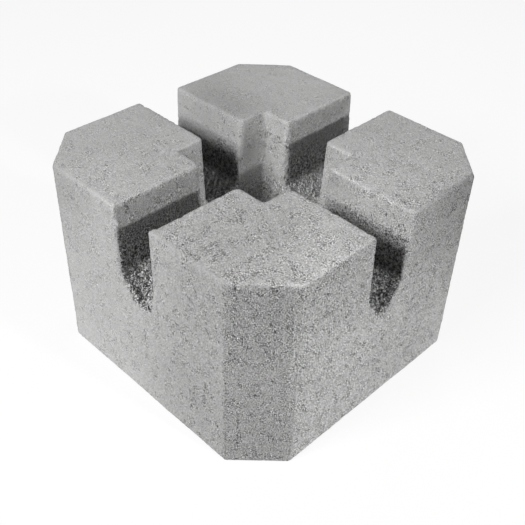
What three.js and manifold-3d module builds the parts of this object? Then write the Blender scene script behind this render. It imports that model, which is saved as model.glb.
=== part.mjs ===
import * as THREE from "three";
import { mergeVertices } from "three/addons/utils/BufferGeometryUtils.js";
import Module from "manifold-3d";

// A precast concrete deck block: a squat block with chamfered corners, two joist slots that cross
// at its middle, and a square socket for a post where they cross. It is cast in one piece.
// Millimetres, Z up. The origin is on the ground under the middle of the block, and the slots
// run along X and Y.

// Overall form
const block_width = 280;
const block_height = 188;
const corner_chamfer = 37.5;

// Joist slots. They narrow from the mouth to the seat, where a 38 mm board wedges, and below
// the seat two sloping flanks run down to a narrow rounded root.
const slot_mouth_width = 44;
const slot_seat_width = 39;
const slot_seat_depth = 65;
const slot_root_width = 10;
const slot_depth = 87;
const slot_shoulder_radius = 4;
const slot_root_radius = 7;

// Post socket, a square with a little draft that takes a 90 mm post
const socket_mouth_width = 102;
const socket_floor_width = 98;
const socket_depth = 87;
const socket_corner_radius = 3;

// Softened edges, as the mould and handling leave them
const side_edge_radius = 5;
const top_arris = 3;
const bottom_arris = 2;
const slot_mouth_arris = 2;
const slot_end_arris = 3;
const post_edge_radius = 5;

// Fineness of the curves, and how far a cutting shape runs past the face that it cuts through
const curve_steps = 5;
const arris_steps = 4;
const overrun = 2;
const overlap = 1;

const concrete = new THREE.MeshStandardMaterial({ color: 0xacacab, roughness: 0.95, metalness: 0 });

const wasm = await Module();
wasm.setup();

const half_width = block_width / 2;

// A closed outline with each sharp corner turned into a small curve of about its radius
function softened(corners, radii) {
  const outline = [];
  corners.forEach((corner, i) => {
    const before = corners[(i + corners.length - 1) % corners.length];
    const after = corners[(i + 1) % corners.length];
    const back = before.clone().sub(corner);
    const ahead = after.clone().sub(corner);
    const turn = Math.PI - back.angleTo(ahead);
    const wanted = radii[i] * Math.tan(turn / 2);
    const cut = Math.min(wanted, back.length() * 0.45, ahead.length() * 0.45);
    if (cut <= 0) {
      outline.push(corner.clone());
      return;
    }
    const start = corner.clone().addScaledVector(back.normalize(), cut);
    const end = corner.clone().addScaledVector(ahead.normalize(), cut);
    outline.push(...new THREE.QuadraticBezierCurve(start, corner, end).getPoints(curve_steps));
  });
  return outline;
}

// The quarter round of an arris: how far below the face, and how far back from the wall
function quarter_round(radius) {
  return Array.from({ length: arris_steps + 1 }, (_, i) => {
    const angle = (i / arris_steps) * (Math.PI / 2);
    return { below: radius * (1 - Math.sin(angle)), back: radius * (1 - Math.cos(angle)) };
  });
}

// How far an arris opens a wall at some depth below the face
function arris_spread(radius, depth) {
  if (depth >= radius) return 0;
  const rise = radius - Math.max(depth, 0);
  return radius - Math.sqrt(radius * radius - rise * rise);
}

// A closed solid through a row of outlines with equally many points. Each outline lies across
// the solid at its own station, and place puts a point of an outline in space.
function loft(rings, place) {
  const count = rings[0].outline.length;
  const positions = [];
  const faces = [];
  for (const ring of rings) {
    for (const point of ring.outline) positions.push(...place(point, ring.station));
  }
  for (let i = 0; i + 1 < rings.length; i += 1) {
    for (let j = 0; j < count; j += 1) {
      const here = i * count + j;
      const next = i * count + ((j + 1) % count);
      faces.push(here, next, next + count, here, next + count, here + count);
    }
  }
  const last = (rings.length - 1) * count;
  for (const [a, b, c] of THREE.ShapeUtils.triangulateShape(rings[0].outline, [])) {
    faces.push(a, c, b);
  }
  for (const [a, b, c] of THREE.ShapeUtils.triangulateShape(rings.at(-1).outline, [])) {
    faces.push(last + a, last + b, last + c);
  }
  const geometry = new THREE.BufferGeometry();
  geometry.setAttribute("position", new THREE.Float32BufferAttribute(positions, 3));
  geometry.setIndex(faces);
  return geometry;
}

const upright = (point, station) => [point.x, point.y, station];
const along_x = (point, station) => [station, point.x, point.y];

function solid(geometry) {
  const merged = mergeVertices(geometry);
  const mesh = new wasm.Mesh({
    numProp: 3,
    vertProperties: new Float32Array(merged.attributes.position.array),
    triVerts: new Uint32Array(merged.index.array),
  });
  return new wasm.Manifold(mesh);
}

// The block before anything is cut from it: an eight-sided prism with softened edges
function plan_of_body(inset) {
  const face = half_width - inset;
  const chamfer_start = half_width - corner_chamfer - inset * (Math.SQRT2 - 1);
  const corners = [];
  for (let quarter = 0; quarter < 4; quarter += 1) {
    const turned = [
      new THREE.Vector2(face, -chamfer_start),
      new THREE.Vector2(face, chamfer_start),
    ];
    for (const corner of turned) {
      corners.push(corner.rotateAround(new THREE.Vector2(), (quarter * Math.PI) / 2));
    }
  }
  const radius = Math.max(side_edge_radius - inset, side_edge_radius / 10);
  return softened(corners, corners.map(() => radius));
}

function body() {
  const foot = quarter_round(bottom_arris).reverse();
  const crown = quarter_round(top_arris);
  const rings = [
    ...foot.map(({ below, back }) => ({ station: below, outline: plan_of_body(back) })),
    ...crown.map(({ below, back }) => ({ station: block_height - below, outline: plan_of_body(back) })),
  ];
  return loft(rings, upright);
}

// Half of a slot's cross-section, from the mouth down to the root, as half width and depth
function slot_profile() {
  const mouth = quarter_round(slot_mouth_arris).reverse();
  const half_mouth = slot_mouth_width / 2;
  const half_seat = slot_seat_width / 2;
  const half_root = slot_root_width / 2;
  const sharp = [
    new THREE.Vector2(half_mouth, 0),
    new THREE.Vector2(half_seat, slot_seat_depth),
    new THREE.Vector2(half_root, slot_depth),
    new THREE.Vector2(-half_root, slot_depth),
    new THREE.Vector2(-half_seat, slot_seat_depth),
    new THREE.Vector2(-half_mouth, 0),
  ];
  const radii = [0, slot_shoulder_radius, slot_root_radius, slot_root_radius, slot_shoulder_radius, 0];
  const below_mouth = softened(sharp, radii).filter((point) => point.x > 0 && point.y > 0);
  const wall = (depth) => half_mouth + ((half_seat - half_mouth) * depth) / slot_seat_depth;
  return [
    ...mouth.map(({ below, back }) => new THREE.Vector2(wall(below) + back, below)),
    ...below_mouth,
  ];
}

const profile = slot_profile();

// A slot's full cross-section with its walls and root moved out by spread
function slot_section(spread) {
  const right = profile.map((point) => {
    const root_share = Math.max(0, (point.y - slot_seat_depth) / (slot_depth - slot_seat_depth));
    const height = block_height - point.y - spread * root_share;
    return new THREE.Vector2(point.x + spread, height);
  });
  const brim = new THREE.Vector2(right[0].x, block_height + overrun);
  const half = [brim, ...right];
  const left = half.map((point) => new THREE.Vector2(-point.x, point.y));
  return [...left, ...half.reverse()];
}

// One slot right across the block, its ends flared into the arrises of the side faces
function slot() {
  const flare = quarter_round(slot_end_arris);
  const far_end = flare.map(({ below, back }) => ({ station: half_width - below, spread: back }));
  far_end.push({ station: half_width + overrun, spread: slot_end_arris });
  const near_end = far_end.map(({ station, spread }) => ({ station: -station, spread })).reverse();
  const rings = [...near_end, ...far_end].map(({ station, spread }) => ({
    station,
    outline: slot_section(spread),
  }));
  return loft(rings, along_x);
}

function slot_half_width(depth) {
  const below = profile.findIndex((point) => point.y > depth);
  if (below === 0) return profile[0].x;
  if (below === -1) return profile.at(-1).x;
  const upper = profile[below - 1];
  const lower = profile[below];
  return THREE.MathUtils.mapLinear(depth, upper.y, lower.y, upper.x, lower.x);
}

function socket_half_width(depth) {
  const drafted = THREE.MathUtils.mapLinear(depth, 0, socket_depth, socket_mouth_width, socket_floor_width);
  return drafted / 2 + arris_spread(slot_mouth_arris, depth);
}

// Depths at which the slot's profile bends, from just above the block down to a floor
function bends_down_to(floor) {
  const depths = profile.map((point) => point.y).filter((depth) => depth < floor);
  return [...depths, floor];
}

// Rings at each bend, from the floor up, and one more just above the block
function rings_up_from(floor, outline_at) {
  const rings = bends_down_to(floor).map((depth) => ({
    station: block_height - depth,
    outline: outline_at(depth),
  }));
  rings.unshift({ station: block_height + overrun, outline: outline_at(0) });
  return rings.reverse();
}

// The square socket, with its inner corners a little rounded
function socket() {
  const outline_at = (depth) => {
    const half = socket_half_width(depth);
    const corners = [[half, -half], [half, half], [-half, half], [-half, -half]];
    const points = corners.map(([x, y]) => new THREE.Vector2(x, y));
    return softened(points, points.map(() => socket_corner_radius));
  };
  return loft(rings_up_from(socket_depth, outline_at), upright);
}

// What is rounded off one upright edge of a post, where a slot's wall meets the socket's wall.
// The outline is drawn for the edge beside the slot along X and in front of the +X wall, then
// mirrored by the signs and swapped over for the slot along Y.
function edge_relief(sign_x, sign_y, swap) {
  const spare = (socket_floor_width - slot_mouth_width) / 4;
  const radius = Math.min(post_edge_radius, spare);
  const outline_at = (depth) => {
    const round = Math.max(radius - arris_spread(slot_mouth_arris, depth), radius / 10);
    const wall = socket_half_width(depth);
    const side = slot_half_width(depth);
    const arc = new THREE.EllipseCurve(
      wall + round, side + round, round, round, 1.5 * Math.PI, Math.PI, true,
    );
    const points = [
      new THREE.Vector2(wall + round, side - overlap),
      ...arc.getPoints(curve_steps),
      new THREE.Vector2(wall - overlap, side + round),
      new THREE.Vector2(wall - overlap, side - overlap),
    ];
    const placed = points.map(({ x, y }) => {
      const [u, v] = swap ? [y, x] : [x, y];
      return new THREE.Vector2(sign_x * u, sign_y * v);
    });
    return THREE.ShapeUtils.isClockWise(placed) ? placed.reverse() : placed;
  };
  return loft(rings_up_from(Math.min(slot_depth, socket_depth), outline_at), upright);
}

function deck_block() {
  let block = solid(body());
  block = block.subtract(solid(slot()));
  block = block.subtract(solid(slot().rotateZ(Math.PI / 2)));
  block = block.subtract(solid(socket()));
  for (const sign_x of [-1, 1]) {
    for (const sign_y of [-1, 1]) {
      for (const swap of [false, true]) {
        block = block.subtract(solid(edge_relief(sign_x, sign_y, swap)));
      }
    }
  }
  const cut = block.getMesh();
  const geometry = new THREE.BufferGeometry();
  geometry.setAttribute("position", new THREE.Float32BufferAttribute(cut.vertProperties, 3));
  geometry.setIndex(new THREE.Uint32BufferAttribute(cut.triVerts, 1));
  geometry.computeVertexNormals();
  const mesh = new THREE.Mesh(geometry, concrete);
  mesh.name = "deck_block";
  return mesh;
}

const part = new THREE.Group();
part.add(deck_block());

export default part;
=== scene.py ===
import math
import random

import bpy
import numpy as np
from mathutils import Euler, Matrix, Vector


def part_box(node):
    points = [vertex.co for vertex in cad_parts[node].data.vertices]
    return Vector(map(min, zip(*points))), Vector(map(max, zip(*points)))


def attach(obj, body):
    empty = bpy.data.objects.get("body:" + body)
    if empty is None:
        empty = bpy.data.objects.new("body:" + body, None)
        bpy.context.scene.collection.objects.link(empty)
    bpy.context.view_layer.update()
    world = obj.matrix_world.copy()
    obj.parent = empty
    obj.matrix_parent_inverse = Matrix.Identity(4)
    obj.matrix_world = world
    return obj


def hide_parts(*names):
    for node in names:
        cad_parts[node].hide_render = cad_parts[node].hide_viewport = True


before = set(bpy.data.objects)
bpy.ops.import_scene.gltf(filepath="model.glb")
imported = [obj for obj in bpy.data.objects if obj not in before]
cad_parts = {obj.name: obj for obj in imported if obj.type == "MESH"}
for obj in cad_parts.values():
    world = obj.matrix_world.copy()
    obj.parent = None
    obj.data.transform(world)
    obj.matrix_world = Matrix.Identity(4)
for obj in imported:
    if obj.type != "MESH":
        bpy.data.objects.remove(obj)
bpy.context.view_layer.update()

# The looks of a precast concrete deck block: one rough dry-cast casting, a pale floor and studio
# lights. Metres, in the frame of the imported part, with the slots along X and Y.

mm = 0.001

# Sizes of the block. The overall ones come from the frame.
low_corner, high_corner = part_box("deck_block")
half_width = (high_corner.x - low_corner.x) / 2
block_height = high_corner.z - low_corner.z
corner_chamfer = 37.5 * mm
slot_half_mouth = 22 * mm
slot_half_seat = 19.5 * mm
slot_half_root = 5 * mm
slot_seat_depth = 65 * mm
slot_depth = 87 * mm
socket_half_mouth = 51 * mm
socket_depth = 87 * mm

# Fineness of the casting's mesh
skin_voxel = 1.2 * mm
most_triangles = 195000
weld_distance = 0.01 * mm

# Stones of the casting, and the pits and nicks that stones of the same kinds press into it
stone_kind_count = 5
stone_roughness = 0.12
floor_stone_count = 1700
floor_stone_size = (1.8 * mm, 3.6 * mm)
pit_count = 520
pit_size = (1.8 * mm, 4.0 * mm)
arris_nick_count = 170
arris_nick_size = (2.0 * mm, 4.5 * mm)
lip_nick_count = 30
lip_nick_size = (2.2 * mm, 4.2 * mm)
mouth_nick_count = 150
mouth_nick_size = (1.6 * mm, 3.4 * mm)

# As shares of a stone's size: how far its middle stands off the face it pits, how thick it is there,
# and how deep its middle lies in the floor it is part of
pit_stand_off = 0.1
pit_thickness = 0.8
floor_stone_sink = 0.2

# How far the pits and nicks keep from the block's foot, its top and the slots' edges
pit_margin = 4 * mm

# How many of the floors' stones are in the socket, and of the mouths' nicks on the posts' upright edges
socket_stone_share = 0.25
upright_nick_share = 0.3

# Chips that show in the photograph, as the place of each and its size, in millimetres
chips = [
    # The left post's outer edge beside the slot
    ((-21.5, -139.5, 174), 5.0), ((-22.5, -140, 169), 4.0),
    ((-21, -139, 163), 3.5), ((-21, -139, 136), 4.0),
    # The left slot's outer lip, which is broken away on its right
    ((-16.5, -139.5, 113), 5.0), ((9, -138.5, 103), 7.0),
    ((14.5, -138.5, 106.5), 8.0), ((17.5, -138.5, 112), 6.0),
    # The corners of the posts
    ((140, 97, 188), 6.0), ((51, 51, 188), 4.5), ((-89, 22, 188), 5.0), ((97, -22, 188), 4.0),
]

# Lumps that stand in the slots, in the same way
lumps = [
    ((-10.5, -135.5, 107), 9.0), ((-13.5, -136, 111.5), 6.0), ((-6.5, -135, 103), 7.0),
    ((12, -132, 101), 5.0), ((-22.5, 50, 170), 4.0), ((-23, 49.5, 165), 3.0),
    ((-20.5, -137.5, 170.5), 4.0),
]

# The bar that squares up the front post's outer edge beside the left slot
sharp_edge_start = Vector((20.6 * mm, -139.9 * mm, 104 * mm))
sharp_edge_end = Vector((26 * mm, -134 * mm, 187.7 * mm))

# How the casting's skin swells: a name, the size of the swells, how many finer layers they have, how
# far they go, and the vertex group that has them, where they aren't all over
swells = [
    ("broad", 30 * mm, 2, 0.8 * mm, ""),
    ("sand", 3.2 * mm, 1, 0.55 * mm, ""),
    ("rubble", 2.4 * mm, 1, 0.9 * mm, "rough_walls"),
    ("crumb", 2.6 * mm, 1, 2.4 * mm, "rough_floors"),
]
swell_mid_level = 0.6

# The concrete's colour. Its tone is 1 where it is plain grey, and the patterns change the tone.
plain_grey = 0.535
blue_of_grey = 0.993
darkest_tone = 0.08
skin_roughness = 0.95
skin_specular = 0.25

# The size of each pattern in the concrete, and how much it changes the tone. Pores and coarse sand
# come in clusters.
cloud_size, cloud_change = 45 * mm, 0.16
blotch_size, blotch_change = 9 * mm, 0.1
grit_size, grit_change = 2.2 * mm, 0.35
sand_size, sand_change = 0.75 * mm, 5.3
# The darkness of the pores and pinholes is painted shade inside them
pore_size, pore_painted_shade = 2.2 * mm, 0.75
pinhole_size, pinhole_painted_shade = 1.8 * mm, 0.6
pale_grain_size, pale_grain_lightness = 2.6 * mm, 0.16
spot_softness = 0.06
cluster_size = 8 * mm

# The same for the patterns that only the slots and the socket have. A pair is the change at the
# block's rear corner and the change at its front corner.
floor_rubble_size, floor_rubble_change = 1.4 * mm, (1, 6)
low_rubble_size, low_rubble_change = 2.1 * mm, 7
wall_rubble_size, wall_rubble_change = 1.3 * mm, (-5, 9)
wall_bump_size, wall_bump_change = 2.6 * mm, 0.8
wall_grit_change = 0.9

# The loose grains on the floors: the tone at their middle, how fast it falls towards the gaps, how
# much it varies from grain to grain, and its limits
floor_grain_size = 2.0 * mm
# The fall towards the gaps is painted shade between the grains
floor_grain_tone, floor_gap_shade_fall, floor_grain_variety = 3.0, 3.9, 1.4
darkest_floor_grain, palest_floor_grain = 0.1, 1.6

# How far the patterns rise or sink, as shares of the height of the relief
relief_height = 1.2 * mm
sand_rise, grit_rise, rubble_rise, wall_bump_rise = 0.9, 0.6, 0.4, 1.6
pore_sink, pinhole_sink, floor_gap_sink = 0.8, 0.4, 0.8

# How much painted shade darkens each of these zones: the chamfered corners, the slots' walls low
# down, the wall on the +Y side of the slot along X, the block's left end and the outer lips of the
# slots' floors
corner_painted_shade = 0.25
low_wall_painted_shade = 0.31
far_wall_painted_shade = 0.45
left_end_painted_shade = 0.025
lip_painted_shade = 0.25

# Broad patches of painted shade and painted light, zone by zone: the middle and the radius of
# each in millimetres, and the change of its tone. They follow the photograph, where the light
# fades across the block more than the studio lights make it.
painted_light_and_shade_patches = {
    # Darker towards the front corner, and high up at its left end
    "left face": [
        ((100, -140, 5), 150, -0.24), ((60, -140, 90), 110, -0.08), ((95, -140, 180), 120, -0.16),
        ((-110, -140, 190), 90, -0.13), ((-95, -140, 160), 60, -0.05), ((30, -140, 30), 70, -0.06),
    ],
    # Lighter towards the front corner, and darker high up at its far end
    "right face": [
        ((140, -80, 125), 140, 0.2), ((140, -10, 60), 110, 0.06), ((140, 135, 195), 165, -0.46),
        ((140, -50, 160), 70, -0.09), ((140, 40, 0), 120, -0.1),
    ],
    "corners": [((121, -121, 0), 95, -0.16)],
    "tops": [
        ((-85, 25, 188), 75, -0.18), ((85, 30, 188), 90, 0.13), ((135, -75, 188), 60, 0.2),
        ((-50, -130, 188), 70, 0.06), ((75, -105, 188), 75, -0.08), ((-70, 125, 188), 70, 0.08),
        ((-115, 35, 188), 50, -0.08), ((115, -35, 188), 45, 0.08),
    ],
    "slot walls": [((-95, 21, 172), 80, -0.16), ((95, 21, 165), 60, 0.03), ((58, 22, 180), 30, -0.14)],
    # Deep in the rear, where little light gets in
    "socket walls": [((-51, 28, 152), 35, -0.36)],
    "floors": [((-75, 10, 113), 60, -0.6)],
}

dice = random.Random(20)


# Selecting and applying

def choose(piece):
    bpy.ops.object.select_all(action="DESELECT")
    piece.select_set(True)
    bpy.context.view_layer.objects.active = piece


def add_object(name, mesh):
    piece = bpy.data.objects.new(name, mesh)
    bpy.context.scene.collection.objects.link(piece)
    return piece


def apply_modifier(piece, kind, **settings):
    step = piece.modifiers.new(kind.lower(), kind)
    for name, value in settings.items():
        setattr(step, name, value)
    choose(piece)
    bpy.ops.object.modifier_apply(modifier=step.name)


def join(pieces):
    bpy.ops.object.select_all(action="DESELECT")
    for piece in pieces:
        piece.select_set(True)
    bpy.context.view_layer.objects.active = pieces[0]
    bpy.ops.object.join()
    return pieces[0]


# Stones, which are buried in the casting as aggregate or pressed into it to leave a pit

def stone_kinds():
    kinds = []
    for number in range(stone_kind_count):
        bpy.ops.object.select_all(action="DESELECT")
        bpy.ops.mesh.primitive_ico_sphere_add(subdivisions=1, radius=0.5)
        stone = bpy.context.active_object
        bpy.ops.object.mode_set(mode="EDIT")
        bpy.ops.mesh.select_all(action="SELECT")
        bpy.ops.transform.vertex_random(offset=stone_roughness, seed=number + 1)
        bpy.ops.object.mode_set(mode="OBJECT")
        kinds.append(stone)
    return kinds


def place_stone(kinds, centre, size, thickness=1.0, facing=(0, 0, 1)):
    """A copy of one of the kinds of stone. Along facing it is thickness times its size."""
    mesh = dice.choice(kinds).data.copy()
    spin = Euler([dice.uniform(0, math.tau) for _ in range(3)]).to_matrix().to_4x4()
    flatten = Matrix.Diagonal((size, size, size * thickness, 1))
    lay = Vector(facing).to_track_quat("Z", "Y").to_matrix().to_4x4()
    mesh.transform(Matrix.Translation(centre) @ lay @ flatten @ spin)
    return add_object("stone", mesh)


# Places on the block

def quarter_turn(number):
    return Matrix.Rotation(number * math.pi / 2, 3, "Z")


def upright_faces():
    """The upright faces: for each a point at its foot, the way along it, the way outwards and half
    its length."""
    faces = []
    for number in range(4):
        turn = quarter_turn(number)
        flat = (
            Vector((half_width, 0, 0)),
            Vector((0, 1, 0)),
            Vector((1, 0, 0)),
            half_width - corner_chamfer,
        )
        middle = half_width - corner_chamfer / 2
        corner = (
            Vector((middle, middle, 0)),
            Vector((-1, 1, 0)).normalized(),
            Vector((1, 1, 0)).normalized(),
            corner_chamfer / math.sqrt(2),
        )
        for foot, along, out, half_length in (flat, corner):
            faces.append((turn @ foot, turn @ along, turn @ out, half_length))
    return faces


def over_a_hollow(x, y, margin):
    """Whether a point of the plan lies over a slot, over the socket or off the block."""
    near_slot = min(abs(x), abs(y)) < slot_half_mouth + margin
    near_socket = max(abs(x), abs(y)) < socket_half_mouth + margin
    off_corner = abs(x) + abs(y) > 2 * half_width - corner_chamfer - margin
    off_side = max(abs(x), abs(y)) > half_width - margin
    return near_slot or near_socket or off_corner or off_side


def pit_places():
    """Where small pits lie on the sides and the tops, as a point and the direction outwards."""
    places = []
    faces = upright_faces()
    while len(places) < pit_count * 3 // 4:
        foot, along, out, half_length = dice.choice(faces)
        across = dice.uniform(-half_length, half_length)
        rise = dice.uniform(pit_margin, block_height - pit_margin)
        beside_slot = abs(across) < slot_half_mouth + pit_margin
        above_root = rise > block_height - slot_depth - pit_margin
        if beside_slot and above_root and half_length > corner_chamfer:
            continue
        places.append((foot + along * across + Vector((0, 0, rise)), out))
    while len(places) < pit_count:
        x = dice.uniform(-half_width, half_width)
        y = dice.uniform(-half_width, half_width)
        if not over_a_hollow(x, y, 3 * mm):
            places.append((Vector((x, y, block_height)), Vector((0, 0, 1))))
    return places


def slot_floor_depth(across):
    """How deep a slot is at a distance from its middle: level at its root, then up its flanks."""
    slope = (abs(across) - slot_half_root) / (slot_half_seat - slot_half_root)
    return slot_depth - max(slope, 0) * (slot_depth - slot_seat_depth)


def floor_places():
    """Where stones lie on the sloping flanks and roots of the slots and on the socket's floor."""
    places = []
    while len(places) < floor_stone_count:
        along = dice.uniform(-half_width + 1.5 * mm, half_width - 1.5 * mm)
        across = dice.uniform(-slot_half_seat, slot_half_seat)
        if dice.random() < socket_stone_share:
            along = dice.uniform(-socket_half_mouth, socket_half_mouth)
            across = dice.uniform(-socket_half_mouth, socket_half_mouth)
            places.append(Vector((along, across, block_height - socket_depth)))
            continue
        if abs(along) < socket_half_mouth:
            continue
        place = Vector((along, across, block_height - slot_floor_depth(across)))
        if dice.random() < 0.5:
            place = quarter_turn(1) @ place
        places.append(place)
    return places


def lip_places():
    """Where the outer lips of the slots crumble, along the sloping flanks and the root at each end."""
    places = []
    for number in range(4):
        for _ in range(lip_nick_count):
            across = dice.uniform(-slot_half_seat, slot_half_seat)
            height = block_height - slot_floor_depth(across) - dice.uniform(0, 2.5 * mm)
            place = Vector((half_width - 1 * mm, across, height))
            places.append(quarter_turn(number) @ place)
    return places


def mouth_places():
    """Where the top edges of the slots and the upright edges of the posts beside them crumble."""
    places = []
    while len(places) < mouth_nick_count:
        along = dice.uniform(socket_half_mouth, half_width - 2 * mm) * dice.choice((-1, 1))
        across = (slot_half_mouth + 1 * mm) * dice.choice((-1, 1))
        height = block_height - 0.5 * mm
        if dice.random() < upright_nick_share:
            along = (half_width - 1 * mm) * dice.choice((-1, 1))
            height = block_height - dice.uniform(0, slot_seat_depth)
        place = Vector((along, across, height))
        places.append(quarter_turn(dice.choice((0, 1))) @ place)
    return places


def arris_places():
    """Where the arrises are nicked: along the top outline and the upright corners."""
    places = []
    faces = upright_faces()
    while len(places) < arris_nick_count:
        foot, along, out, half_length = dice.choice(faces)
        across = dice.uniform(-half_length, half_length)
        if dice.random() < 0.5:
            if abs(across) < slot_half_mouth + 2 * mm and half_length > corner_chamfer:
                continue
            place = foot + along * across + Vector((0, 0, block_height))
            places.append((place, out + Vector((0, 0, 1))))
        else:
            rise = dice.uniform(pit_margin, block_height - pit_margin)
            places.append((foot + along * half_length + Vector((0, 0, rise)), out))
    return places


# The casting

def merged_copy(node_name, piece_name):
    piece = add_object(piece_name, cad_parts[node_name].data.copy())
    piece.data.materials.clear()
    choose(piece)
    bpy.ops.object.mode_set(mode="EDIT")
    bpy.ops.mesh.select_all(action="SELECT")
    bpy.ops.mesh.remove_doubles(threshold=weld_distance)
    bpy.ops.object.mode_set(mode="OBJECT")
    return piece


def cut(piece, tools):
    tool = join(tools)
    apply_modifier(piece, "BOOLEAN", operation="DIFFERENCE", object=tool, solver="EXACT", use_self=True)
    bpy.data.objects.remove(tool)


def press_pits(piece, kinds):
    tools = []
    for place, out in pit_places():
        size = dice.uniform(*pit_size)
        tools.append(place_stone(kinds, place + out * size * pit_stand_off, size, pit_thickness, out))
    for place, out in arris_places():
        size = dice.uniform(*arris_nick_size)
        stand_off = out.normalized() * size * pit_stand_off
        tools.append(place_stone(kinds, place + stand_off, size, 1.0, out))
    for place in lip_places():
        tools.append(place_stone(kinds, place, dice.uniform(*lip_nick_size)))
    for place in mouth_places():
        tools.append(place_stone(kinds, place, dice.uniform(*mouth_nick_size)))
    for place, size in chips:
        tools.append(place_stone(kinds, Vector(place) * mm, size * mm))
    cut(piece, tools)


def sharp_edge():
    """A bar along the outer edge of the front post beside the slot, where the mould fills it well."""
    size = sharp_edge_end - sharp_edge_start
    bpy.ops.object.select_all(action="DESELECT")
    bpy.ops.mesh.primitive_cube_add(size=1)
    bar = bpy.context.active_object
    middle = (sharp_edge_start + sharp_edge_end) / 2
    bar.data.transform(Matrix.Translation(middle) @ Matrix.Diagonal((*size, 1)))
    return bar


def bury_stones(piece, kinds):
    stones = []
    for place in floor_places():
        size = dice.uniform(*floor_stone_size)
        stones.append(place_stone(kinds, place - Vector((0, 0, size * floor_stone_sink)), size))
    for place, size in lumps:
        stones.append(place_stone(kinds, Vector(place) * mm, size * mm))
    join([piece, sharp_edge(), *stones])


def cloud_texture(name, size, layers):
    texture = bpy.data.textures.new(name, "CLOUDS")
    texture.noise_scale = size
    texture.noise_depth = layers
    texture.noise_basis = "BLENDER_ORIGINAL"
    return texture


def group_where(piece, name, weights):
    """Adds a vertex group of the vertices whose weight is above nothing."""
    group = piece.vertex_groups.new(name=name)
    for index in np.nonzero(weights > 0)[0]:
        group.add([int(index)], float(weights[index]), "REPLACE")


def vertex_places(piece):
    places = np.empty(len(piece.data.vertices) * 3)
    piece.data.vertices.foreach_get("co", places)
    return places.reshape(-1, 3)


def weather(piece):
    """Raises and sinks the skin by fractions of a millimetre, and more in the rough hollows."""
    x, y, z = vertex_places(piece).T
    nearer = np.minimum(np.abs(x), np.abs(y))
    in_socket = np.maximum(np.abs(x), np.abs(y)) < socket_half_mouth + 1 * mm
    on_floors = (nearer < slot_half_mouth) | in_socket
    on_walls = (nearer < slot_half_mouth + 1 * mm) | in_socket
    depth = block_height - z
    above_root = depth < slot_depth + 8 * mm
    floor_share = np.clip((depth - slot_seat_depth + 8 * mm) / (10 * mm), 0, 1)
    wall_share = np.clip((depth - 3 * mm) / (20 * mm), 0, 1)
    group_where(piece, "rough_floors", np.where(on_floors & above_root, floor_share, 0))
    group_where(piece, "rough_walls", np.where(on_walls & above_root, wall_share, 0))
    for name, size, layers, travel, group in swells:
        apply_modifier(piece, "DISPLACE", texture=cloud_texture(name, size, layers), strength=travel,
                       mid_level=swell_mid_level, texture_coords="LOCAL", vertex_group=group)


def keep_in_box(piece):
    """Brings what stands proud of the block's outline back to it, as the mould does."""
    places = vertex_places(piece)
    places = np.clip(places, np.array(low_corner), np.array(high_corner))
    piece.data.vertices.foreach_set("co", places.ravel())
    piece.data.update()


def thin(piece):
    piece.data.calc_loop_triangles()
    share = most_triangles / len(piece.data.loop_triangles)
    if share < 1:
        apply_modifier(piece, "DECIMATE", ratio=share, use_collapse_triangulate=True)


def concrete_casting():
    piece = merged_copy("deck_block", "concrete_casting")
    kinds = stone_kinds()
    press_pits(piece, kinds)
    bury_stones(piece, kinds)
    for kind in kinds:
        bpy.data.objects.remove(kind)
    apply_modifier(piece, "REMESH", mode="VOXEL", voxel_size=skin_voxel)
    weather(piece)
    keep_in_box(piece)
    thin(piece)
    keep_in_box(piece)
    choose(piece)
    bpy.ops.object.shade_smooth()
    return piece


# Shader maths: Python's operators on a socket add Math nodes

class Socket:
    def __init__(self, tree, socket):
        self.tree = tree
        self.socket = socket

    def node(self, kind, settings, values, output=0):
        """Adds a node, sets it up, gives its sockets their values or links, and returns one output."""
        added = self.tree.nodes.new(kind)
        for name, value in settings.items():
            setattr(added, name, value)
        for name, value in values.items():
            if isinstance(value, Socket):
                self.tree.links.new(value.socket, added.inputs[name])
            else:
                added.inputs[name].default_value = value
        return Socket(self.tree, added.outputs[output])

    def output(self, name):
        """Another output of the same node."""
        return Socket(self.tree, self.socket.node.outputs[name])

    def feed(self, shader, name):
        self.tree.links.new(self.socket, shader.inputs[name])

    def math(self, operation, *others):
        values = dict(enumerate((self, *others)))
        return self.node("ShaderNodeMath", {"operation": operation}, values)

    def __add__(self, other):
        return self.math("ADD", other)

    def __sub__(self, other):
        return self.math("SUBTRACT", other)

    def __mul__(self, other):
        return self.math("MULTIPLY", other)

    def __rsub__(self, other):
        return self.node("ShaderNodeMath", {"operation": "SUBTRACT"}, {0: other, 1: self})

    __radd__ = __add__
    __rmul__ = __mul__

    def absolute(self):
        return self.math("ABSOLUTE")

    def larger(self, other):
        return self.math("MAXIMUM", other)

    def smaller(self, other):
        return self.math("MINIMUM", other)

    def rise(self, start, end):
        """From 0 at start to 1 at end, softly, as the value goes from one to the other."""
        settings = {"interpolation_type": "SMOOTHSTEP"}
        values = {"Value": self, "From Min": start, "From Max": end}
        return self.node("ShaderNodeMapRange", settings, values)


def source(tree, kind, output):
    """An output of a node that needs no input, for an expression to start from."""
    return Socket(tree, tree.nodes.new(kind).outputs[output])


def noise(place, size, detail, roughness=0.5):
    values = {"Vector": place, "Scale": 1 / size, "Detail": detail, "Roughness": roughness}
    return place.node("ShaderNodeTexNoise", {}, values, "Fac")


def cells(place, size):
    """The distance to the middle of the nearest cell, and a number that is each cell's own."""
    distance = place.node("ShaderNodeTexVoronoi", {}, {"Vector": place, "Scale": 1 / size}, "Distance")
    colour = distance.output("Color")
    own_number = colour.node("ShaderNodeSeparateColor", {}, {"Color": colour}, "Red")
    return distance, own_number


def spots(place, size, share, widest):
    """1 inside a scatter of small spots and 0 outside them. The cells are size across, a share of
    them hold a spot, and the radius of a spot is at most widest times the size."""
    distance, own_number = cells(place, size)
    radius = (own_number - (1 - share)) * (widest / share)
    return 1 - (distance - radius).rise(-spot_softness, spot_softness)


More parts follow.
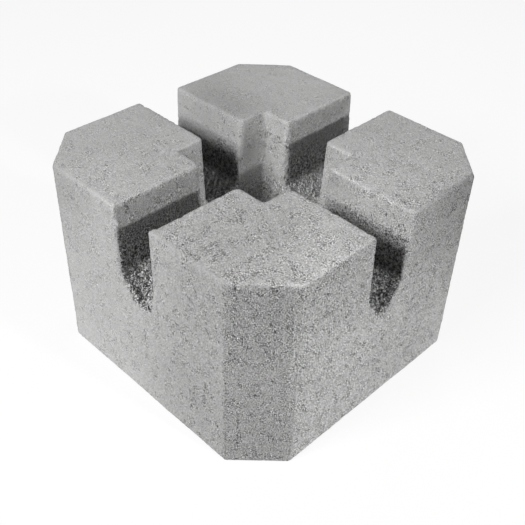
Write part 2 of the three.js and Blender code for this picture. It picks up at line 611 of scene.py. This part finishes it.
def nearness(place, centre, radius):
    """1 at the centre, falling softly to 0 at the radius."""
    ends = {0: place, 1: centre}
    distance = place.node("ShaderNodeVectorMath", {"operation": "DISTANCE"}, ends, "Value")
    return 1 - distance.rise(0, radius)


# The concrete

class Zones:
    """Where the parts of the block are. A zone is 1 inside and falls softly to 0 outside."""

    def __init__(self, place):
        self.x = place.node("ShaderNodeSeparateXYZ", {}, {"Vector": place}, "X")
        self.y = self.x.output("Y")
        self.depth = block_height - self.x.output("Z")
        self.across = self.x.absolute()
        self.along = self.y.absolute()
        self.nearer = self.across.smaller(self.along)
        self.farther = self.across.larger(self.along)
        self.find_faces()
        self.find_hollows()
        self.find_walls()

    def find_faces(self):
        """The outer faces, the way from the rear corner to the front one, and the block's left end."""
        corner_line = 2 * half_width - corner_chamfer
        self.corners = (self.across + self.along).rise(corner_line - 3 * mm, corner_line - 0.4 * mm)
        left_side = 1 - self.y.rise(-half_width + 2 * mm, -half_width + 5 * mm)
        self.left_face = left_side * (1 - self.corners)
        self.right_face = self.x.rise(half_width - 5 * mm, half_width - 2 * mm)
        self.sides = self.depth.rise(0.6 * mm, 3 * mm)
        self.forward = (self.x - self.y).rise(-260 * mm, 300 * mm)
        # The left end takes a little painted shade, and its grain is finer
        self.left_end = 1 - (self.x + self.y).rise(-200 * mm, -20 * mm)

    def find_hollows(self):
        """The slots, the crumbly floors of the slots and the socket, and the floors' outer lips."""
        self.inside = 1 - self.farther.rise(half_width - 2.8 * mm, half_width - 1.3 * mm)
        self.above_root = 1 - self.depth.rise(slot_depth + 8 * mm, slot_depth + 10 * mm)
        self.in_slot = 1 - self.nearer.rise(slot_half_mouth - 2 * mm, slot_half_mouth - 0.5 * mm)
        in_socket = 1 - self.farther.rise(socket_half_mouth - 1 * mm, socket_half_mouth)
        low_down = self.depth.rise(slot_seat_depth - 6 * mm, slot_seat_depth + 3 * mm)
        self.floors = self.in_slot.larger(in_socket) * self.inside * low_down * self.above_root
        # The lips zone carries painted shade on the floors' outer lips
        self.lips = self.floors * self.farther.rise(half_width - 14 * mm, half_width - 3 * mm)

    def find_walls(self):
        """The walls of the slots, three parts of them low down, and the walls of the socket."""
        in_slot = 1 - self.nearer.rise(slot_half_mouth + 0.3 * mm, slot_half_mouth + 2 * mm)
        self.walls = in_slot * self.sides * self.inside * (1 - self.floors) * self.above_root
        self.beside_y_slot = (self.along - self.across).rise(0, 20 * mm)
        self.lower_walls = self.walls * self.depth.rise(20 * mm, 30 * mm)
        # The low walls take painted shade as well as rubble
        self.low_walls = self.in_slot * self.walls * self.depth.rise(22 * mm, 29 * mm)
        beside_x_slot = 1 - self.along.rise(slot_half_mouth, slot_half_mouth + 2 * mm)
        far_side = self.y.rise(10 * mm, 15 * mm)
        # The far wall zone carries only painted shadow, deep on the +Y wall of the slot along X
        self.far_wall = self.low_walls * self.depth.rise(32 * mm, 48 * mm) * beside_x_slot * far_side
        in_socket = 1 - self.farther.rise(socket_half_mouth + 0.5 * mm, socket_half_mouth + 2 * mm)
        self.socket_walls = self.sides * in_socket

    def rear_to_front(self, rear, front):
        """Goes from one value at the block's rear corner to another at its front corner."""
        return self.forward * (front - rear) + rear


def sandy_skin(place, zones, clusters):
    """Clouds, blotches, grit and sand: the change of the tone, and the relief.

    The sand is coarser on the sides, in clusters and towards the front corner. It is finer on the
    left face, at the left end and on the walls beside the slot along X.
    """
    coarse = zones.rear_to_front(0.25, 0.95) * (zones.sides * 0.4 + 1) * (clusters * 0.65 + 0.65)
    coarse = coarse * (1 - zones.left_face * 0.45) * (1 - zones.left_end * 0.25)
    coarse = coarse * (1 - zones.walls * (1 - zones.beside_y_slot) * 0.25)
    cloud = noise(place, cloud_size, detail=2.0) - 0.5
    blotch = noise(place, blotch_size, detail=2.0) - 0.5
    grit = noise(place, grit_size, detail=1.0) - 0.5
    sand = noise(place, sand_size, detail=1.0, roughness=0.7) - 0.5
    change = cloud * cloud_change + blotch * blotch_change
    change = change + (grit * grit_change + sand * sand_change) * coarse
    change = change + grit * zones.in_slot * zones.inside * zones.sides * wall_grit_change
    return change, (sand * sand_rise + grit * grit_rise) * coarse


def rubble(place, zones):
    """Rubble on the floors and walls of the hollows, and bumps on the walls beside the slot along Y:
    the change of the tone, and the relief."""
    on_floors = (noise(place, floor_rubble_size, detail=1.0, roughness=0.7) - 0.5) * zones.floors
    low_down = (noise(place, low_rubble_size, detail=2.0, roughness=0.8) - 0.5) * zones.low_walls
    on_walls = (noise(place, wall_rubble_size, detail=1.0, roughness=0.8) - 0.5) * zones.lower_walls
    bumps = (noise(place, wall_bump_size, detail=2.0, roughness=0.6) - 0.5) * zones.walls
    bumps = bumps * zones.beside_y_slot
    change = on_floors * zones.rear_to_front(*floor_rubble_change) + low_down * low_rubble_change
    change = change + on_walls * zones.rear_to_front(*wall_rubble_change).larger(0)
    return change + bumps * wall_bump_change, change * rubble_rise + bumps * wall_bump_rise


def pores_and_pale_grains(place, zones, clusters):
    """Small open pores, drawn out upwards the way the mould is pulled off, pinholes and pale grains:
    what the tone is multiplied by, and how deep they sink.

    The pores and pinholes are more open on the sides, in clusters and towards the front corner, and
    less so on the left face and at the left end.
    """
    openness = zones.rear_to_front(0.5, 1.0) * (zones.sides * 0.4 + 0.6) * (clusters * 0.8 + 0.2)
    openness = openness * (1 - zones.left_face * 0.3) * (1 - zones.left_end * 0.3)
    drawn = place.node("ShaderNodeVectorMath", {"operation": "MULTIPLY"}, {0: place, 1: (1, 1, 0.5)})
    pores = spots(drawn, pore_size, share=0.38, widest=0.4) * openness
    pinholes = spots(place, pinhole_size, share=0.28, widest=0.42) * openness
    pale_grains = spots(place, pale_grain_size, share=0.14, widest=0.24)
    # Darkening the pores and pinholes paints shade into them; they also sink in the relief
    tone = (1 - pores * pore_painted_shade) * (1 - pinholes * pinhole_painted_shade)
    tone = tone * (1 + pale_grains * pale_grain_lightness)
    return tone, pores * pore_sink + pinholes * pinhole_sink


def loose_floor_grains(place, zones):
    """Pale grains and the dark gaps between them on the crumbly floors, weaker towards the rear
    corner: what the tone is multiplied by, and how deep the gaps sink."""
    gap, own_number = cells(place, floor_grain_size)
    # The dark gaps are painted shade between the grains, besides their sinking
    grains = floor_grain_tone - gap * floor_gap_shade_fall + (own_number - 0.5) * floor_grain_variety
    grains = grains.larger(darkest_floor_grain).smaller(palest_floor_grain)
    grains = grains * zones.rear_to_front(0.2, 1.0) + zones.rear_to_front(1.1, 0.3)
    return 1 + zones.floors * (grains - 1), zones.floors * gap * floor_gap_sink


def shade(place, zones):
    """What the tone is multiplied by for painted shade in the darker zones, and for painted shade and
    painted light in the broad patches.
    """
    # Painted shade: the chamfered corners, the left end, the low slot walls, the far wall and the
    # floors' outer lips are darkened
    tone = (1 - zones.corners * corner_painted_shade) * (1 - zones.left_end * left_end_painted_shade)
    tone = tone * (1 - zones.low_walls * low_wall_painted_shade) * (1 - zones.far_wall * far_wall_painted_shade)
    tone = tone * (1 - zones.lips * lip_painted_shade)
    patched = {
        "left face": zones.left_face,
        "right face": zones.right_face,
        "corners": zones.corners,
        "tops": 1 - zones.sides,
        "slot walls": zones.walls,
        "socket walls": zones.socket_walls,
        "floors": zones.floors,
    }
    for zone, patches in painted_light_and_shade_patches.items():
        for centre, radius, change in patches:
            share = nearness(place, Vector(centre) * mm, radius * mm) * patched[zone]
            tone = tone * (1 + share * change)
    return tone


def concrete_finish():
    finish = bpy.data.materials.new("dry_cast_concrete")
    finish.use_nodes = True
    place = source(finish.node_tree, "ShaderNodeTexCoord", "Object")
    zones = Zones(place)
    clusters = noise(place, cluster_size, detail=2.0).rise(0.46, 0.62)

    skin_change, skin_relief = sandy_skin(place, zones, clusters)
    rubble_change, rubble_relief = rubble(place, zones)
    pore_tone, pore_depth = pores_and_pale_grains(place, zones, clusters)
    floor_tone, floor_depth = loose_floor_grains(place, zones)
    tone = (1 + skin_change + rubble_change) * pore_tone * floor_tone * shade(place, zones)
    height = skin_relief + rubble_relief - pore_depth - floor_depth

    grey = tone.larger(darkest_tone) * plain_grey
    channels = {"Red": grey, "Green": grey, "Blue": grey * blue_of_grey}
    relief = {"Strength": 1.0, "Distance": relief_height, "Height": height}
    shader = finish.node_tree.nodes["Principled BSDF"]
    grey.node("ShaderNodeCombineColor", {}, channels, "Color").feed(shader, "Base Color")
    height.node("ShaderNodeBump", {}, relief, "Normal").feed(shader, "Normal")
    shader.inputs["Roughness"].default_value = skin_roughness
    shader.inputs["Specular IOR Level"].default_value = skin_specular
    return finish


# The studio, with its sizes in metres

floor_half_size = 6.0
bounce_radius = 0.4
bounce_drop = 0.3 * mm

# How bright the air is as a light, and how much brighter the camera sees it
air_light = 0.002
air_brightness = 0.96

# Where the camera stands, in degrees and metres from the point it looks at
camera_azimuth, camera_elevation, camera_roll = 43.932, 38.666, 2.072
camera_distance = 716.49 * mm
camera_target = Vector((21.05 * mm, -19.22 * mm, 93.33 * mm))
focal_length, sensor_width = 55.842, 36


def glowing_paint(name, grey, glow):
    paint = bpy.data.materials.new(name)
    paint.use_nodes = True
    shader = paint.node_tree.nodes["Principled BSDF"]
    shader.inputs["Base Color"].default_value = (grey, grey, grey, 1)
    shader.inputs["Roughness"].default_value = 0.9
    shader.inputs["Specular IOR Level"].default_value = 0.0
    shader.inputs["Emission Color"].default_value = (1, 1, 1, 1)
    shader.inputs["Emission Strength"].default_value = glow
    return paint


def pale_floor():
    """A pale floor, lit from below as a light table is. Only the camera sees it: what it throws back
    onto the block comes from the bounce card."""
    bpy.ops.object.select_all(action="DESELECT")
    bpy.ops.mesh.primitive_plane_add(size=2 * floor_half_size)
    floor = bpy.context.active_object
    floor.name = "studio_floor"
    floor.data.materials.append(glowing_paint("pale_floor_paint", grey=0.14, glow=0.87))
    floor.visible_diffuse = False
    floor.visible_glossy = False
    floor.visible_shadow = False
    return floor


def bounce_card():
    """A bright round card round the block's foot, which the camera doesn't see."""
    bpy.ops.object.select_all(action="DESELECT")
    bpy.ops.mesh.primitive_circle_add(vertices=48, radius=bounce_radius, fill_type="NGON",
                                      location=(0, 0, -bounce_drop))
    card = bpy.context.active_object
    card.name = "bounce_card"
    card.data.materials.append(glowing_paint("bounce_card_paint", grey=0.0, glow=0.8))
    card.visible_camera = False
    card.visible_shadow = False
    return card


def towards(azimuth, elevation):
    """The direction to a light, its azimuth counted from +X towards +Y, in degrees."""
    a, e = math.radians(azimuth), math.radians(elevation)
    return Vector((math.cos(a) * math.cos(e), math.sin(a) * math.cos(e), math.sin(e)))


def soft_light(name, azimuth, elevation, distance, width, height, power):
    lamp = bpy.data.lights.new(name, "AREA")
    lamp.shape = "RECTANGLE"
    lamp.size = width
    lamp.size_y = height
    lamp.energy = power
    holder = bpy.data.objects.new(name, lamp)
    bpy.context.scene.collection.objects.link(holder)
    way = towards(azimuth, elevation)
    middle = Vector((0, 0, block_height * 0.6))
    holder.location = middle + way * distance
    holder.rotation_euler = way.to_track_quat("Z", "Y").to_euler()
    return holder


def studio_world():
    world = bpy.data.worlds.new("studio_air")
    world.use_nodes = True
    tree = world.node_tree
    background = tree.nodes["Background"]
    background.inputs["Color"].default_value = (1, 1, 1, 1)
    seen = source(tree, "ShaderNodeLightPath", "Is Camera Ray")
    strength = air_light + seen * air_brightness
    strength.feed(background, "Strength")
    bpy.context.scene.world = world


def studio_lights():
    """The lights: azimuth and elevation, distance, width and height in metres, and power in watts."""
    soft_light("key_light", 266, 36.5, distance=1.7, width=0.6, height=0.45, power=24)
    soft_light("right_light", 2.5, 28.8, distance=1.5, width=0.08, height=0.08, power=8.0)
    soft_light("low_right_light", 12, 6, distance=1.2, width=0.4, height=0.3, power=2.4)
    soft_light("left_light", 248, 24, distance=1.5, width=0.5, height=0.4, power=1.2)
    soft_light("back_light", 118, 42, distance=1.2, width=0.5, height=0.4, power=2.2)


def camera():
    """Looks at the block as the photograph does, slightly tilted."""
    azimuth = math.radians(camera_azimuth)
    elevation = math.radians(camera_elevation)
    roll = math.radians(camera_roll)
    level_back = Vector((math.sin(azimuth), -math.cos(azimuth), 0))
    back = level_back * math.cos(elevation) + Vector((0, 0, math.sin(elevation)))
    level = Vector((math.cos(azimuth), math.sin(azimuth), 0))
    above = back.cross(level)
    right = math.cos(roll) * level + math.sin(roll) * above
    up = back.cross(right)
    lens = bpy.data.cameras.new("photograph_view")
    lens.lens = focal_length
    lens.sensor_width = sensor_width
    viewer = bpy.data.objects.new("photograph_view", lens)
    bpy.context.scene.collection.objects.link(viewer)
    turn = Matrix((right, up, back)).transposed()
    place = Matrix.Translation(camera_target + back * camera_distance)
    viewer.matrix_world = place @ turn.to_4x4()
    bpy.context.scene.camera = viewer


casting = concrete_casting()
casting.data.materials.append(concrete_finish())
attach(casting, "root")
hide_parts("deck_block")
pale_floor()
bounce_card()
studio_world()
studio_lights()
camera()
bpy.context.scene.view_settings.view_transform = "Standard"
